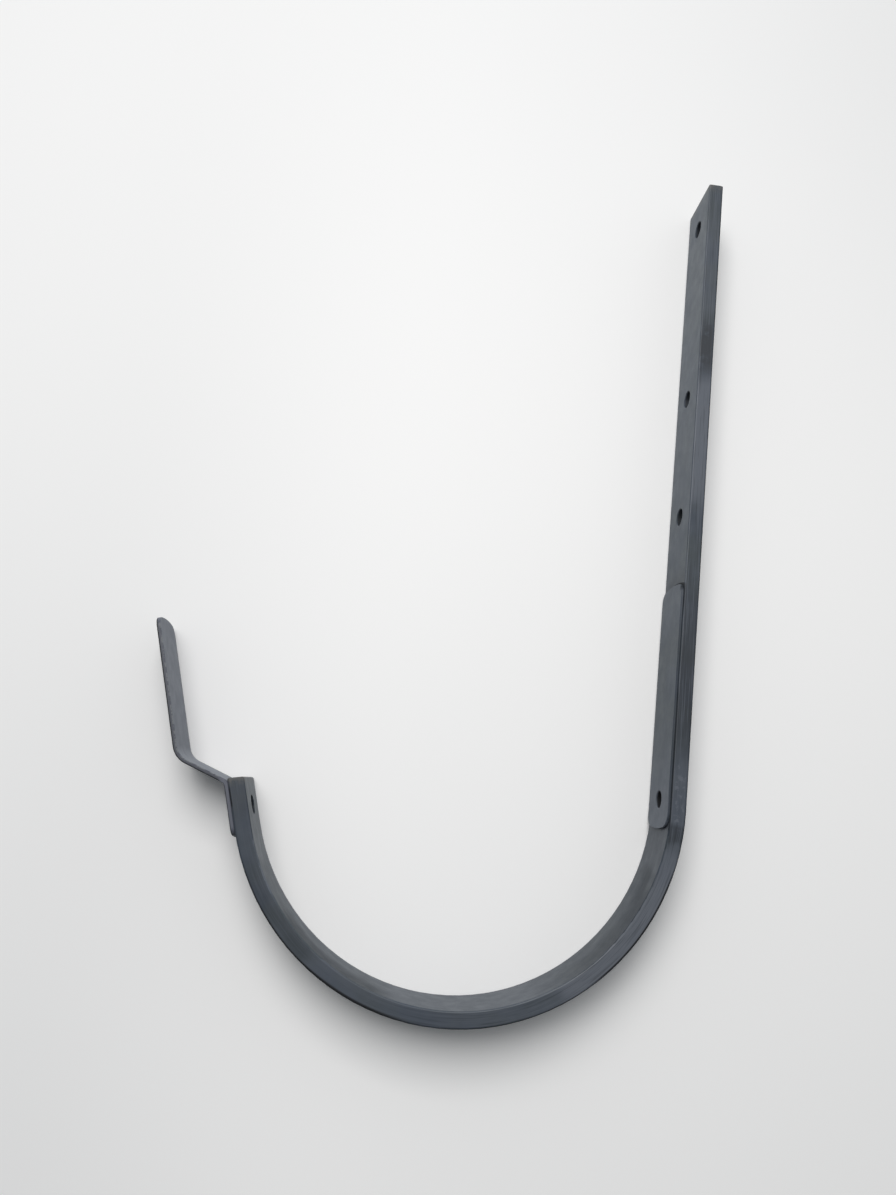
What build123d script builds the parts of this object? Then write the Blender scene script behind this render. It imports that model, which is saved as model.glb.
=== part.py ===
from build123d import *
import os
from math import asin, cos, degrees, radians, sin, tan

# Rafter bracket for a half-round gutter, all sizes in millimetres.
# The gutter's axis is the Y axis, Z is up, and the stem stands on the wall side, at +X.

# Flat bar
bar_width = 25.0
bar_thickness = 6.0
inner_edge_round = 0.6
outer_edge_round = 0.8

# Hook: seat, front leg and stem
seat_radius = 77.0
seat_sweep = 162.5
front_leg_length = 18.0
stem_height = 263.0
front_end_skew = 6.0
end_edge_bevel = 0.4

# Screw holes in the stem, from its top end down
screw_hole_diameter = 7.0
punch_edge_bevel = 0.3
top_hole_drop = 14.0
upper_hole_pitch = 80.5
lower_hole_pitch = 52.0

# Collars drawn from the strips into the fixing holes of the bar
fixing_hole_diameter = 7.2
collar_clearance = 0.05
collar_wall = 0.4
collar_depth = 4.0
collar_entry_round = 0.6

# Rear strip: flat on the stem's inner face, its tail bent to clear the seat's curve
rear_width = 24.0
rear_thickness = 1.0
rear_top_height = 87.0
rear_tail_length = 7.6
rear_tail_bend_radius = 60.0
rear_upper_corner_round = 4.0
rear_lower_corner_round = 5.0
rear_fixing_height = 3.2

# Front strip: leg on the bar's outer face, run sloping out from the bar's tip, tab standing up
front_width = 24.0
front_thickness = 1.5
front_overlap = 21.0
front_bend_drop = 0.9
front_fixing_drop = 10.5
front_run_angle = 53.0
front_step = 15.9
front_tab_reach = 64.0
front_leg_bend_radius = 0.8
front_tab_bend_radius = 7.0
front_leg_corner_round = 3.0
front_tab_corner_round = 4.0

# Cut edges of the strips: their ends are arched, and every edge is bevelled
strip_end_rise = 1.5
strip_edge_bevel = 0.2

# How far a cutter runs past the face that it cuts, and what counts as square to an axis
overcut = 5.0
square_tolerance = 1e-6

# Middle of the bar's thickness in the stem, and the radius of the bar's middle line round the seat
stem_x = seat_radius + bar_thickness / 2

# The front leg stands on the end of the seat: local X points out of the hook, local Z up the leg.
leg_out = Vector(cos(radians(seat_sweep)), 0, -sin(radians(seat_sweep)))
leg_up = Vector(-sin(radians(seat_sweep)), 0, -cos(radians(seat_sweep)))
leg_plane = Plane(origin=leg_out * seat_radius, x_dir=leg_out, z_dir=leg_up)
leg_fixing_height = front_leg_length - front_fixing_drop


def hole_along_x(diameter, length):
    return Rot(0, 90, 0) * Cylinder(diameter / 2, length)


def screw_hole_heights():
    top = stem_height - top_hole_drop
    return [top, top - upper_hole_pitch, top - upper_hole_pitch - lower_hole_pitch]


def bar_section():
    """Cross-section of the flat bar, thickness along X with the outer face at +X."""
    section = Rectangle(bar_thickness, bar_width)
    section = fillet(section.vertices().group_by(Axis.X)[-1], outer_edge_round)
    return fillet(section.vertices().group_by(Axis.X)[0], inner_edge_round)


def bar_path():
    """Middle line of the bar: down the stem, round the seat and up the front leg."""
    stem = Line((stem_x, 0, stem_height), (stem_x, 0, 0))
    seat = Plane.XZ * CenterArc((0, 0), stem_x, 0, -seat_sweep)
    leg = Line(leg_out * stem_x, leg_out * stem_x + leg_up * (front_leg_length + overcut))
    return Wire([stem, seat.edge(), leg])


def front_offcut():
    """What the shears take off past the front end: the cut rises towards the outer face."""
    block = Box(overcut * 2, bar_width + overcut, overcut * 2, align=(Align.CENTER, Align.CENTER, Align.MIN))
    leg_end = leg_plane.location * Pos(bar_thickness / 2, 0, front_leg_length)
    return leg_end * Rot(0, -front_end_skew, 0) * block


def with_screw_hole(bar, height):
    """Bar with a punched hole in the stem, its edge eased on the side where the punch went in."""
    bar -= Pos(stem_x, 0, height) * hole_along_x(screw_hole_diameter, bar_thickness + overcut)
    rims = bar.edges().filter_by(GeomType.CIRCLE)
    return chamfer(rims.sort_by_distance((seat_radius, 0, height))[0], punch_edge_bevel)


def hook_bar():
    path = bar_path()
    start = Plane(origin=path @ 0, x_dir=(1, 0, 0), z_dir=path % 0)
    bar = sweep(start * bar_section(), path=path) - front_offcut()
    for end in (path @ 0, leg_out * stem_x + leg_up * front_leg_length):
        bar = chamfer(bar.faces().sort_by_distance(end)[0].edges(), end_edge_bevel)
    for height in screw_hole_heights():
        bar = with_screw_hole(bar, height)
    fixing_hole = hole_along_x(fixing_hole_diameter, bar_thickness + overcut)
    bar -= Pos(stem_x, 0, rear_fixing_height) * fixing_hole
    return bar - leg_plane.location * Pos(bar_thickness / 2, 0, leg_fixing_height) * fixing_hole


def strip_face(width, low, high, low_round, high_round):
    """Face of a strip seen square on, with arched ends and rounded corners."""
    side = width / 2
    low_corner, high_corner = low + strip_end_rise, high - strip_end_rise
    outline = [
        Line((-side, low_corner), (-side, high_corner)),
        ThreePointArc((-side, high_corner), (0, high), (side, high_corner)),
        Line((side, high_corner), (side, low_corner)),
        ThreePointArc((side, low_corner), (0, low), (-side, low_corner)),
    ]
    face = make_face(outline)
    face = fillet(face.vertices().group_by(Axis.Y)[0], low_round)
    return fillet(face.vertices().group_by(Axis.Y)[-1], high_round)


def bent_strip(path, thickness, face):
    """Sheet bent along a path in the XZ plane, trimmed to a face outline drawn in the YZ plane."""
    side_view = Plane.XZ * trace(path, line_width=thickness)
    sheet = extrude(side_view, face.bounding_box().size.X, both=True)
    reach = sheet.bounding_box().size.X + overcut
    blank = extrude(Plane.YZ.offset(sheet.bounding_box().center().X) * face, reach, both=True)
    strip = sheet & blank
    walls = strip.faces().filter_by(lambda wall: abs(wall.normal_at().X) < square_tolerance)
    return chamfer(walls.edges().filter_by(Axis.X, reverse=True), strip_edge_bevel)


def with_collar(strip, thickness, height, face_x, toward):
    """Strip with a collar drawn out of its face at face_x, towards +X (1) or -X (-1)."""
    outer_radius = fixing_hole_diameter / 2 - collar_clearance
    inner_radius = outer_radius - collar_wall
    length = thickness + collar_depth
    middle = Pos(face_x + toward * (collar_depth - thickness) / 2, 0, height)
    strip += middle * hole_along_x(2 * outer_radius, length)
    strip -= middle * hole_along_x(2 * inner_radius, length + overcut)
    mouth = (face_x - toward * thickness, 0, height + inner_radius)
    rims = strip.edges().filter_by(GeomType.CIRCLE)
    return fillet(rims.sort_by_distance(mouth)[0], collar_entry_round)


def rear_strip():
    """Built in the frame of the stem's inner face, with X towards the wall."""
    middle_x = -rear_thickness / 2
    bend_radius = rear_tail_bend_radius - rear_thickness / 2
    tail_turn = degrees(asin((rear_tail_length + overcut) / bend_radius))
    flat = Line((middle_x, rear_top_height), (middle_x, 0))
    tail = CenterArc((middle_x - bend_radius, 0), bend_radius, 0, -tail_turn)
    rounds = (rear_lower_corner_round, rear_upper_corner_round)
    face = strip_face(rear_width, -rear_tail_length, rear_top_height, *rounds)
    strip = bent_strip(flat + tail, rear_thickness, face)
    strip = with_collar(strip, rear_thickness, rear_fixing_height, 0, 1)
    return Pos(seat_radius, 0, 0) * strip


def front_strip():
    """Built in the frame of the front leg, with X out of the hook."""
    leg_x = bar_thickness + front_thickness / 2
    tab_x = leg_x + front_step
    low = front_leg_length - front_overlap
    high = front_leg_length + front_tab_reach
    run_low = front_leg_length - front_bend_drop
    run_high = run_low + front_step / tan(radians(front_run_angle))
    points = [(leg_x, low), (leg_x, run_low), (tab_x, run_high), (tab_x, high)]
    radii = [radius + front_thickness / 2 for radius in (front_leg_bend_radius, front_tab_bend_radius)]
    face = strip_face(front_width, low, high, front_leg_corner_round, front_tab_corner_round)
    strip = bent_strip(FilletPolyline(points, radius=radii), front_thickness, face)
    strip = with_collar(strip, front_thickness, leg_fixing_height, bar_thickness, -1)
    return leg_plane.location * strip


os.makedirs("parts", exist_ok=True)
for name, make in [("hook_bar", hook_bar), ("front_strip", front_strip), ("rear_strip", rear_strip)]:
    export_step(make(), f"parts/{name}.step")
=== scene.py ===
"""Gutter bracket in satin anthracite paint, lying against a pale board in soft light from above."""
import bpy
import math
from mathutils import Matrix, Vector


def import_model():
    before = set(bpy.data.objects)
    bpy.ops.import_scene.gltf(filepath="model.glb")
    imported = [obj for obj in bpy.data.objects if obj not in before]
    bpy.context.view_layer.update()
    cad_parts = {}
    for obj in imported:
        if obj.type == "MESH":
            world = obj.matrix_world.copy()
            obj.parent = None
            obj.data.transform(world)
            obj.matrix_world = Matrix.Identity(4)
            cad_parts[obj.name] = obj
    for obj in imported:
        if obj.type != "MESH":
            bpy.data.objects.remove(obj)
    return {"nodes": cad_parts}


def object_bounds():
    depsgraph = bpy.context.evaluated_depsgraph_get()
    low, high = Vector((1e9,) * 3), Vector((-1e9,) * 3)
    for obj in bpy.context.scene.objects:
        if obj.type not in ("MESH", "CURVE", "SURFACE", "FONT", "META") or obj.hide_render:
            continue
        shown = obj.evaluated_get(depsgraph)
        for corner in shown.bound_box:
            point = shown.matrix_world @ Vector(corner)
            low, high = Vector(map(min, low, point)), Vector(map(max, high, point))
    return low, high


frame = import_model()
cad_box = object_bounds()

PHOTO_LONG_SIDE = 1195

# Camera, as it stands in the photograph: metres and degrees in the part's own frame
CAMERA_PLACE = (-0.02970, -0.34488, -0.00276)
CAMERA_TURN = (-12.062, -2.701, 7.358)
FOCAL_PIXELS = 898.13
SENSOR = 36.0

# Soft lamp in front of the part and above it: metres and watts
LAMP_PLACE = (-0.18, -0.85, 0.485)
LAMP_TARGET = (0.0, 0.0, 0.05)
LAMP_SIZE = (0.56, 0.65)
LAMP_POWER = 7.15

# World: its strength from straight below to straight above, and what the camera sees of it
FRONT_LIGHT = (0.08, 0.52)
REAR_LIGHT = (0.25, 0.95)
LIGHT_TINT = (0.95, 1.0, 1.04)
BACKGROUND = 0.86
WHITE = (1.0, 1.0, 1.0)

# Board behind the part: metres, and linear colours that are darker high up and to the left as painted
# shade
BOARD_HALF_SIDE = 1.0
BOARD_GAP = 0.0003
BOARD_FADE_START = 0.36
BOARD_FADE_END = 0.56
BOARD_LOW = (0.990, 0.975, 0.960)
BOARD_HIGH = (0.88, 0.87, 0.86)
BOARD_LEFT = (0.84, 0.83, 0.82)

# Sizes of the part in millimetres, for placing marks on its paint
SEAT_RADIUS = 77.0
BAR_MIDDLE = 80.0
STEM_HEIGHT = 263.0
SEAT_SWEEP = math.radians(162.5)
SEAT_END = STEM_HEIGHT + BAR_MIDDLE * SEAT_SWEEP
FRONT_FIXING = 7.5
REAR_FIXING = 3.2
HOLE_DISTANCES = (14.0, 94.5, 146.5, STEM_HEIGHT - REAR_FIXING, SEAT_END + FRONT_FIXING)
HOLE_RADIUS = 3.6
COLLAR_RADIUS = 3.15
REAR_TOP = 87.0
REAR_END_ARCH = 1.5 / 12.0 ** 2
RUN_ANGLE = math.radians(53.0)
RUN_START = (6.75, 17.1)
TAB_OUT = 22.65
BEND_RADIUS = 7.75

# Paint, as linear colours
GREY_BLUE = (0.037, 0.048, 0.066)
GREY_GREEN = (0.042, 0.052, 0.060)
GREY_PALE = (0.051, 0.062, 0.080)
# Dust, and painted sheen where it lightens faces and edges of the bar
DUST_AND_SHEEN = (0.106, 0.117, 0.140)
DUST_VIOLET = (0.114, 0.118, 0.146)
SHADE = (0.015, 0.018, 0.024)
# Black, for dirt and for painted shade in holes, gaps and along edges
SOOT_AND_SHADE = (0.003, 0.004, 0.006)
BARE = (0.120, 0.112, 0.100)
# Paint chips, and painted sheen where it lightens faces of the bar
CHIPS_AND_SHEEN = (0.190, 0.198, 0.205)

# Gloss and grain of the paint: bump depth in metres
SMOOTHEST = 0.34
ROUGHEST = 0.46
STREAK_ROUGHNESS = 0.12
DIRT_ROUGHNESS = 0.35
BUMP_STRENGTH = 0.10
BUMP_DEPTH = 0.0002

# Lighter stretches of the bar, dust and painted sheen, and darker ones of painted shade, in millimetres
# along it from the stem's top:
# start, end, how far they fade out beyond, strength and colour
SIDE_STRETCHES = (
    (24.0, 58.0, 12.0, 0.20, DUST_AND_SHEEN),
    (92.0, 136.0, 12.0, 0.88, DUST_AND_SHEEN),
    (284.0, 344.0, 9.0, 0.98, DUST_AND_SHEEN),
    (298.0, 338.0, 12.0, 0.12, CHIPS_AND_SHEEN),
    (246.0, 266.0, 10.0, 0.38, DUST_AND_SHEEN),
    (352.0, 436.0, 12.0, 0.30, DUST_AND_SHEEN),
    (190.0, 234.0, 18.0, 0.60, SHADE),
    (269.0, 277.0, 3.0, 0.60, SHADE),
    (448.0, 470.0, 12.0, 0.25, SHADE),
    (494.0, 520.0, 6.0, 0.30, SHADE),
)
INNER_STRETCHES = (
    (-10.0, 130.0, 20.0, 0.22, DUST_AND_SHEEN),
    (268.0, 284.0, 6.0, 0.85, DUST_AND_SHEEN),
    (356.0, 402.0, 16.0, 0.75, DUST_AND_SHEEN),
    (484.0, 520.0, 12.0, 0.85, CHIPS_AND_SHEEN),
)


def camera():
    """The camera looks along +Y before it is tipped, turned and rolled."""
    tip, turn, roll = (math.radians(a) for a in CAMERA_TURN)
    base = Matrix(((1, 0, 0), (0, 0, -1), (0, 1, 0)))
    view = Matrix.Rotation(turn, 3, "Y") @ Matrix.Rotation(tip, 3, "X") @ base
    view = Matrix.Rotation(roll, 3, "Z") @ view
    rows = Matrix((view[0], -view[1], -view[2]))
    data = bpy.data.cameras.new("camera")
    data.sensor_width = SENSOR
    data.lens = FOCAL_PIXELS * SENSOR / PHOTO_LONG_SIDE
    data.clip_start = 0.01
    cam = bpy.data.objects.new("camera", data)
    cam.matrix_world = Matrix.Translation(CAMERA_PLACE) @ rows.transposed().to_4x4()
    bpy.context.scene.collection.objects.link(cam)
    bpy.context.scene.camera = cam


class Nodes:
    """Short calls for building a node tree."""

    def __init__(self, tree):
        self.tree = tree
        tree.nodes.clear()

    def plug(self, socket, value):
        if isinstance(value, bpy.types.NodeSocket):
            self.tree.links.new(value, socket)
        else:
            socket.default_value = value

    def add(self, kind, inputs=None, **settings):
        node = self.tree.nodes.new(kind)
        for key, value in settings.items():
            setattr(node, key, value)
        for key, value in (inputs or {}).items():
            self.plug(node.inputs[key], value)
        return node

    def math(self, operation, a, b=0.0, c=0.0):
        return self.add("ShaderNodeMath", {0: a, 1: b, 2: c}, operation=operation).outputs[0]

    def less(self, a, b):
        return self.math("SUBTRACT", a, b)

    def times(self, *values):
        product = values[0]
        for value in values[1:]:
            product = self.math("MULTIPLY", product, value)
        return product

    def most(self, *values):
        largest = values[0]
        for value in values[1:]:
            largest = self.math("MAXIMUM", largest, value)
        return largest

    def length(self, a, b):
        """Length of the diagonal of a and b."""
        return self.math("SQRT", self.math("MULTIPLY_ADD", a, a, self.times(b, b)))

    def ramp(self, value, low, high, out_low=0.0, out_high=1.0):
        inputs = {"Value": value, "From Min": low, "From Max": high, "To Min": out_low, "To Max": out_high}
        return self.add("ShaderNodeMapRange", inputs, interpolation_type="SMOOTHSTEP").outputs["Result"]

    def band(self, value, low, high, soft):
        """One between low and high, fading out over soft beyond each."""
        return self.times(self.ramp(value, low - soft, low), self.ramp(value, high + soft, high))

    def pick(self, factor, a, b):
        return self.add("ShaderNodeMix", {0: factor, 2: a, 3: b}, data_type="FLOAT").outputs[0]

    def mix(self, factor, a, b):
        node = self.add("ShaderNodeMix", data_type="RGBA")
        sockets = {s.identifier: s for s in node.inputs}
        for name, value in (("Factor_Float", factor), ("A_Color", a), ("B_Color", b)):
            self.plug(sockets[name], (*value, 1.0) if isinstance(value, tuple) else value)
        return {s.identifier: s for s in node.outputs}["Result_Color"]

    def noise(self, vector, scale, detail=3.0, rough=0.5):
        inputs = {"Vector": vector, "Scale": scale, "Detail": detail, "Roughness": rough}
        return self.add("ShaderNodeTexNoise", inputs).outputs["Fac"]

    def vector(self, x, y, z):
        return self.add("ShaderNodeCombineXYZ", {0: x, 1: y, 2: z}).outputs[0]

    def turned(self, u, v, start, direction):
        """Distance of (u, v) from start along a direction in their plane."""
        a = self.times(self.less(u, start[0]), direction[0])
        b = self.times(self.less(v, start[1]), direction[1])
        return self.math("ADD", a, b)


class Paint(Nodes):
    """Worn grey paint in the part's own millimetres: marks are laid over it one by one."""

    def __init__(self, name):
        self.material = bpy.data.materials.new(name)
        self.material.use_nodes = True
        super().__init__(self.material.node_tree)
        self.place = self.add("ShaderNodeTexCoord").outputs["Object"]
        mm = self.add("ShaderNodeVectorMath", {0: self.place, "Scale": 1000.0}, operation="SCALE")
        self.x, self.y, self.z = self.add("ShaderNodeSeparateXYZ", {0: mm.outputs[0]}).outputs
        normal = self.add("ShaderNodeNewGeometry").outputs["Normal"]
        self.facing = self.math("ABSOLUTE", self.add("ShaderNodeSeparateXYZ", {0: normal}).outputs["Y"])
        self.mottle = self.noise(self.place, 190.0, 4.0, 0.6)
        self.blotch = self.noise(self.place, 60.0, 2.0, 0.5)
        self.colour = self.mix(self.ramp(self.blotch, 0.38, 0.62), GREY_BLUE, GREY_GREEN)
        self.dull = 0.0
        self.lay(self.ramp(self.mottle, 0.35, 0.75, 0.0, 0.55), GREY_PALE)

    def lay(self, mask, colour):
        self.colour = self.mix(mask, self.colour, colour)

    def lay_dirt_and_shade(self, mask):
        """Black, for dirt and for painted shade, and dull where the paint is satin."""
        self.lay(mask, SOOT_AND_SHADE)
        self.dull = self.most(self.dull, mask)

    def side(self):
        """One on the sides of the bar and on the cut edges of the strips."""
        return self.ramp(self.facing, 0.8, 0.97)

    def flank(self):
        """One on those faces and on the rounds or bevels beside them."""
        return self.ramp(self.facing, 0.2, 0.4)

    def across(self):
        return self.math("ABSOLUTE", self.y)

    def lines(self, x, y, z):
        """Fine lines: a noise drawn out along the metal."""
        return self.noise(self.vector(x, y, z), 1.0, 3.0, 0.55)

    def finish(self, streaks):
        """Streaks run along the metal, under the grain of the paint."""
        grain = self.noise(self.place, 2600.0, 2.0, 0.5)
        height = self.math("MULTIPLY_ADD", streaks, 0.6, grain)
        inputs = {"Strength": BUMP_STRENGTH, "Distance": BUMP_DEPTH, "Height": height}
        bump = self.add("ShaderNodeBump", inputs)
        rough = self.ramp(self.mottle, 0.2, 0.8, SMOOTHEST, ROUGHEST)
        rough = self.math("MULTIPLY_ADD", streaks, STREAK_ROUGHNESS, rough)
        rough = self.math("MULTIPLY_ADD", self.dull, DIRT_ROUGHNESS, rough)
        inputs = {"Base Color": self.colour, "Roughness": rough, "Normal": bump.outputs[0]}
        bsdf = self.add("ShaderNodeBsdfPrincipled", inputs)
        self.add("ShaderNodeOutputMaterial", {"Surface": bsdf.outputs[0]})
        return self.material


def leg_frame(p):
    """Millimetres in the frame of the front leg: out of the hook from its inner face, and up it."""
    out = (math.cos(SEAT_SWEEP), -math.sin(SEAT_SWEEP))
    up = (-math.sin(SEAT_SWEEP), -math.cos(SEAT_SWEEP))
    base = (out[0] * SEAT_RADIUS, out[1] * SEAT_RADIUS)
    return p.turned(p.x, p.z, base, out), p.turned(p.x, p.z, base, up)


def bar_frame(p):
    """How far along the bar from the stem's top, and how deep from its inner face."""
    u, v = leg_frame(p)
    leg = p.times(p.math("GREATER_THAN", v, 0.0), p.math("LESS_THAN", p.x, 0.0))
    stem = p.times(p.math("GREATER_THAN", p.z, 0.0), p.math("GREATER_THAN", p.x, 0.0))
    angle = p.math("ARCTAN2", p.times(p.z, -1.0), p.x)
    seat_along = p.math("MULTIPLY_ADD", angle, BAR_MIDDLE, STEM_HEIGHT)
    along = p.pick(stem, seat_along, p.less(STEM_HEIGHT, p.z))
    deep = p.less(p.pick(stem, p.length(p.x, p.z), p.x), SEAT_RADIUS)
    return p.pick(leg, along, p.math("ADD", v, SEAT_END)), p.pick(leg, deep, u)


def bar_stretches(p, along, side, inner):
    """Lighter stretches of dust and painted sheen, and darker ones of painted shade between them, with
    ragged ends.
    """
    ragged = p.math("MULTIPLY_ADD", p.less(p.blotch, 0.5), 26.0, along)
    for rows, face in ((SIDE_STRETCHES, side), (INNER_STRETCHES, inner)):
        for low, high, soft, amount, colour in rows:
            p.lay(p.times(p.band(ragged, low, high, soft), face, amount), colour)
    return ragged


def bar_lines(p, along, side, streaks):
    """Fine lines along the bar, from its rolling, fainter where the seat rises to the front."""
    p.lay(p.ramp(streaks, 0.45, 0.7, 0.0, 0.45), GREY_PALE)
    lined = p.times(side, p.ramp(along, 370.0, 430.0, 1.0, 0.2))
    p.lay(p.times(lined, p.ramp(streaks, 0.47, 0.36), 0.40), SHADE)
    p.lay(p.times(lined, p.ramp(streaks, 0.53, 0.64), 0.30), DUST_AND_SHEEN)


def bar_handling(p, along, deep, side, inner):
    """A smudge and scuffs on the near side of the stem, and a smear down the seat's inner face."""
    near_side = p.times(side, p.ramp(p.y, 0.0, -6.0))
    smudge = p.times(p.band(along, 70.0, 82.0, 9.0), near_side, p.ramp(deep, 5.8, 4.6))
    p.lay(p.times(smudge, p.ramp(p.mottle, 0.25, 0.5), 0.85), SHADE)
    smear = p.times(p.ramp(along, 281.0, 292.0), p.ramp(along, 356.0, 318.0), p.ramp(p.y, 5.0, -4.0))
    clean_edge = p.times(p.ramp(along, 300.0, 291.0), p.ramp(p.y, -5.0, -8.0))
    p.lay_dirt_and_shade(p.times(smear, inner, p.less(1.0, clean_edge), 0.36))
    scuffs = p.times(p.band(along, 248.0, 268.0, 3.0), near_side, p.band(deep, 1.5, 4.5, 1.0))
    p.lay(p.times(scuffs, p.ramp(p.noise(p.place, 420.0, 3.0, 0.6), 0.52, 0.62), 0.75), DUST_AND_SHEEN)


def bar_rise(p, along, deep, side, inner, ragged):
    """Where the seat rises to the front: a painted highlight on the side by its inner edge, painted shade
    on the inner face beside that edge and along the outer edge, and painted shade along the outer edge of
    the seat by the stem.
    """
    p.lay(p.times(p.band(ragged, 408.0, 466.0, 18.0), side, p.ramp(deep, 3.4, 0.4), 0.18), DUST_AND_SHEEN)
    p.lay_dirt_and_shade(p.times(p.band(along, 416.0, 450.0, 14.0), inner, p.ramp(p.y, 3.0, -7.0), 0.44))
    outermost = p.less(deep, p.ramp(along, 425.0, 450.0, 0.0, 0.5))
    flank = p.flank()
    p.lay_dirt_and_shade(p.times(p.band(along, 412.0, 458.0, 24.0), p.ramp(outermost, 4.6, 5.2), flank, 0.97))
    # Painted shade along the outer edge of the seat by the stem
    p.lay_dirt_and_shade(p.times(p.band(along, 292.0, 325.0, 12.0), p.ramp(deep, 4.9, 5.3), flank, 0.95))


def bar_edges(p, along, deep, streaks):
    """Painted shade along the outer edges; lighter streaks along the inner ones, a rubbed spot, and lines
    of painted shade along them in places.
    """
    edge = p.band(p.facing, 0.35, 0.85, 0.1)
    outer_edge = p.times(edge, p.ramp(deep, 3.0, 4.0), p.ramp(along, 486.0, 470.0))
    p.lay_dirt_and_shade(p.times(outer_edge, p.ramp(p.blotch, 0.35, 0.62, 0.35, 0.85)))
    inner_edge = p.times(edge, p.ramp(deep, 3.0, 2.0))
    p.lay(p.times(inner_edge, p.ramp(streaks, 0.42, 0.62), 0.5), DUST_AND_SHEEN)
    p.lay(p.times(inner_edge, p.band(along, 467.0, 474.0, 4.0), 0.8), DUST_AND_SHEEN)
    low_line = p.times(p.ramp(along, 272.0, 312.0), p.ramp(along, 350.0, 330.0))
    edge_line = p.most(low_line, p.ramp(along, 482.0, 492.0))
    p.lay_dirt_and_shade(p.times(inner_edge, p.band(p.facing, 0.5, 0.7, 0.1), edge_line, 0.6))


def bar_round_strips(p, along, deep, inner):
    """The inner face is darker from the rear strip down, with painted shade beside that strip and a
    painted shadow above it.
    """
    p.lay(p.times(p.ramp(along, 167.0, 176.0), inner, 0.6), SHADE)
    rim = p.ramp(p.across(), 11.5, 11.9)
    beside = p.times(p.band(along, 178.0, 270.0, 2.0), p.ramp(deep, 0.5, 0.2), rim)
    past_end = p.math("MULTIPLY_ADD", p.times(p.y, p.y), REAR_END_ARCH, p.less(p.z, REAR_TOP))
    above = p.times(p.band(past_end, -0.2, 0.7, 0.3), inner, p.band(p.y, -11.5, -2.0, 4.0))
    open_line = p.band(along, 192.0, 214.0, 8.0)
    p.lay_dirt_and_shade(p.most(p.times(beside, p.pick(open_line, 0.7, 0.15)), p.times(above, 0.95)))
    # Painted shadow between the front strip and the leg, near the leg's end
    behind = p.times(p.band(along, 499.0, 503.5, 2.5), p.ramp(deep, 5.2, 5.6), p.ramp(p.mottle, 0.35, 0.5))
    p.lay_dirt_and_shade(p.times(behind, 0.95))


def bar_holes(p, along, deep):
    """Painted shade on the hole walls."""
    for distance in HOLE_DISTANCES:
        span = p.length(p.y, p.less(along, distance))
        wall = p.times(p.ramp(span, HOLE_RADIUS + 0.2, HOLE_RADIUS), p.band(deep, 0.5, 5.7, 0.2))
        p.lay_dirt_and_shade(p.times(wall, 0.65))


def hook_paint():
    p = Paint("grey_paint_bar")
    along, deep = bar_frame(p)
    side = p.side()
    inner = p.times(p.ramp(p.facing, 0.3, 0.1), p.ramp(deep, 3.0, 1.0))
    streaks = p.lines(p.times(along, 0.05), p.times(deep, 2.0), p.times(p.y, 1.2))
    ragged = bar_stretches(p, along, side, inner)
    bar_lines(p, along, side, streaks)
    bar_handling(p, along, deep, side, inner)
    bar_rise(p, along, deep, side, inner, ragged)
    bar_edges(p, along, deep, streaks)
    bar_round_strips(p, along, deep, inner)
    bar_holes(p, along, deep)
    # Bare metal showing at the ends
    ends = p.most(p.ramp(along, 4.5, 1.0), p.ramp(along, 504.5, 507.0))
    p.lay(p.times(ends, p.ramp(p.mottle, 0.38, 0.54), 0.6), BARE)
    return p.finish(streaks)


def front_level(p, u, v):
    """Level through the thickness of the front strip past its leg, up from its middle, inner face up."""
    rise = (math.sin(RUN_ANGLE), math.cos(RUN_ANGLE))
    tangent = BEND_RADIUS * math.tan(RUN_ANGLE / 2)
    corner = RUN_START[1] + (TAB_OUT - RUN_START[0]) / math.tan(RUN_ANGLE)
    bend_start = (TAB_OUT - tangent * rise[0], corner - tangent * rise[1])
    above = p.less(v, corner + tangent)
    on_run = p.turned(u, v, RUN_START, (-rise[1], rise[0]))
    on_bend = p.less(BEND_RADIUS, p.length(p.less(u, TAB_OUT - BEND_RADIUS), above))
    on_tab = p.less(TAB_OUT, u)
    past_run = p.math("GREATER_THAN", p.turned(u, v, bend_start, rise), 0.0)
    past_bend = p.math("GREATER_THAN", above, 0.0)
    return p.pick(past_bend, p.pick(past_run, on_run, on_bend), on_tab)


def front_paint():
    p = Paint("grey_paint_front")
    u, v = leg_frame(p)
    level = front_level(p, u, v)
    streaks = p.lines(p.times(u, 0.8), p.times(p.y, 0.9), p.times(v, 0.05))
    p.lay(p.ramp(streaks, 0.40, 0.7, 0.72, 0.95), DUST_VIOLET)
    past_leg = p.ramp(u, 8.2, 9.5)
    flank = p.flank()
    # The cut edges are darker, with dull dark lines along their outer corners and ends, and chipped along
    # their inner corners
    p.lay(p.times(p.side(), past_leg, 0.45), SHADE)
    p.lay_dirt_and_shade(p.times(past_leg, flank, p.ramp(level, -0.2, -0.45), 0.9))
    p.lay_dirt_and_shade(p.times(past_leg, p.ramp(p.y, 11.3, 11.9), 0.5))
    p.lay_dirt_and_shade(p.times(p.ramp(v, 17.0, 15.0), flank, p.ramp(u, 7.0, 7.3), 0.7))
    p.lay_dirt_and_shade(p.times(p.ramp(v, -1.6, -2.8), flank, 0.7))
    rim = p.ramp(p.across(), 11.4, 11.9)
    chips = p.ramp(p.noise(p.vector(p.times(u, 0.3), 0.0, p.times(v, 0.55)), 1.0, 3.0, 0.6), 0.46, 0.54)
    p.lay(p.times(past_leg, p.band(level, 0.4, 0.8, 0.15), rim, chips, 0.75), CHIPS_AND_SHEEN)
    # Painted shade inside the collar
    bore = p.ramp(p.length(p.y, p.less(v, FRONT_FIXING)), COLLAR_RADIUS + 0.2, COLLAR_RADIUS)
    p.lay_dirt_and_shade(p.times(bore, p.ramp(u, 6.4, 5.6)))
    return p.finish(streaks)


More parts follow.
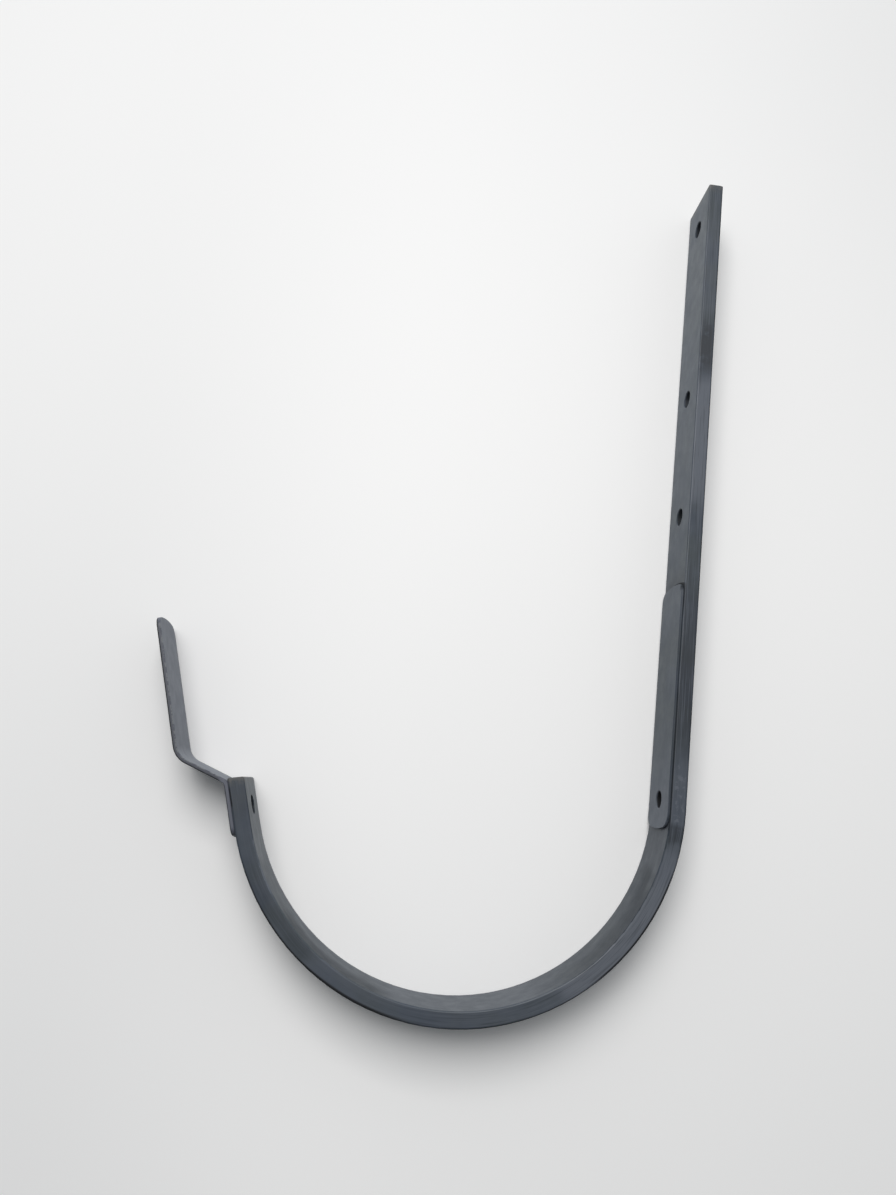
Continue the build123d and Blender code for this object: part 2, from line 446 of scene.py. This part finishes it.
def rear_paint():
    p = Paint("grey_paint_rear")
    streaks = p.lines(p.times(p.x, 0.8), p.times(p.y, 0.9), p.times(p.z, 0.05))
    p.lay(p.ramp(streaks, 0.45, 0.7, 0.0, 0.3), GREY_PALE)
    p.lay(p.times(p.side(), 0.35), SHADE)
    # Lighter at both ends of the strip, and a painted shadow at its near upper corner
    p.lay(p.times(p.ramp(p.z, 60.0, 84.0), 0.35), DUST_AND_SHEEN)
    p.lay(p.times(p.band(p.facing, 0.3, 0.85, 0.1), p.ramp(p.z, 12.0, 0.0), 0.7), DUST_AND_SHEEN)
    p.lay(p.times(p.ramp(p.z, 40.0, -4.0), p.ramp(p.facing, 0.5, 0.2), 0.75), DUST_AND_SHEEN)
    p.lay_dirt_and_shade(p.times(p.ramp(p.z, 82.5, 85.0), p.ramp(p.y, -9.5, -11.2), 0.8))
    # Painted shade inside the collar
    bore = p.ramp(p.length(p.y, p.less(p.z, REAR_FIXING)), COLLAR_RADIUS + 0.35, COLLAR_RADIUS)
    p.lay_dirt_and_shade(p.times(bore, p.ramp(p.x, SEAT_RADIUS - 1.0, SEAT_RADIUS - 0.2)))
    return p.finish(streaks)


def board_material():
    """Paper that is seen from the front only, and fades into the pale world outside the photo's view."""
    material = bpy.data.materials.new("board")
    material.use_nodes = True
    n = Nodes(material.node_tree)
    place = n.add("ShaderNodeTexCoord").outputs["Object"]
    x, _, z = n.add("ShaderNodeSeparateXYZ", {0: place}).outputs
    # Painted shade: the paper is darker high up and to the left
    colour = n.mix(n.ramp(z, 0.08, 0.40), BOARD_LOW, BOARD_HIGH)
    colour = n.mix(n.ramp(x, -0.02, -0.16, 0.0, 0.6), colour, BOARD_LEFT)
    reach = n.length(x, n.less(z, (cad_box[0].z + cad_box[1].z) / 2))
    front = n.less(1.0, n.add("ShaderNodeNewGeometry").outputs["Backfacing"])
    camera_ray = n.add("ShaderNodeLightPath").outputs["Is Camera Ray"]
    seen = n.times(front, camera_ray, n.ramp(reach, BOARD_FADE_END, BOARD_FADE_START))
    paper = n.add("ShaderNodeBsdfDiffuse", {"Color": colour})
    clear = n.add("ShaderNodeBsdfTransparent")
    both = n.add("ShaderNodeMixShader", {0: seen, 1: clear.outputs[0], 2: paper.outputs[0]})
    n.add("ShaderNodeOutputMaterial", {"Surface": both.outputs[0]})
    return material


def board():
    """A pale board right behind the bracket."""
    mesh = bpy.data.meshes.new("board")
    side, y = BOARD_HALF_SIDE, cad_box[1].y + BOARD_GAP
    corners = [(-side, y, -side), (side, y, -side), (side, y, side), (-side, y, side)]
    mesh.from_pydata(corners, [], [(0, 1, 2, 3)])
    mesh.materials.append(board_material())
    sheet = bpy.data.objects.new("board", mesh)
    bpy.context.scene.collection.objects.link(sheet)


def world():
    """Soft light from all round: pale from behind, as from the board, dimmer in front and below."""
    scene_world = bpy.data.worlds.new("world")
    bpy.context.scene.world = scene_world
    scene_world.use_nodes = True
    n = Nodes(scene_world.node_tree)
    direction = n.add("ShaderNodeTexCoord").outputs["Generated"]
    _, y, z = n.add("ShaderNodeSeparateXYZ", {0: direction}).outputs
    front = n.ramp(z, -0.9, 0.9, *FRONT_LIGHT)
    behind = n.ramp(z, -0.55, 0.60, *REAR_LIGHT)
    level = n.pick(n.ramp(y, -0.12, 0.12), front, behind)
    camera_ray = n.add("ShaderNodeLightPath").outputs["Is Camera Ray"]
    strength = n.pick(camera_ray, level, BACKGROUND)
    colour = n.mix(camera_ray, LIGHT_TINT, WHITE)
    back = n.add("ShaderNodeBackground", {"Color": colour, "Strength": strength})
    n.add("ShaderNodeOutputWorld", {"Surface": back.outputs[0]})


def lamp():
    data = bpy.data.lights.new("top", "AREA")
    data.shape = "RECTANGLE"
    data.size, data.size_y = LAMP_SIZE
    data.energy = LAMP_POWER
    light = bpy.data.objects.new("top", data)
    light.location = LAMP_PLACE
    light.rotation_euler = (Vector(LAMP_TARGET) - Vector(LAMP_PLACE)).to_track_quat("-Z", "Y").to_euler()
    bpy.context.scene.collection.objects.link(light)


camera()
board()
world()
lamp()
paints = {"hook_bar": hook_paint(), "front_strip": front_paint(), "rear_strip": rear_paint()}
for name, material in paints.items():
    slots = frame["nodes"][name].data.materials
    slots.clear()
    slots.append(material)

bpy.context.scene.view_settings.view_transform = "Standard"
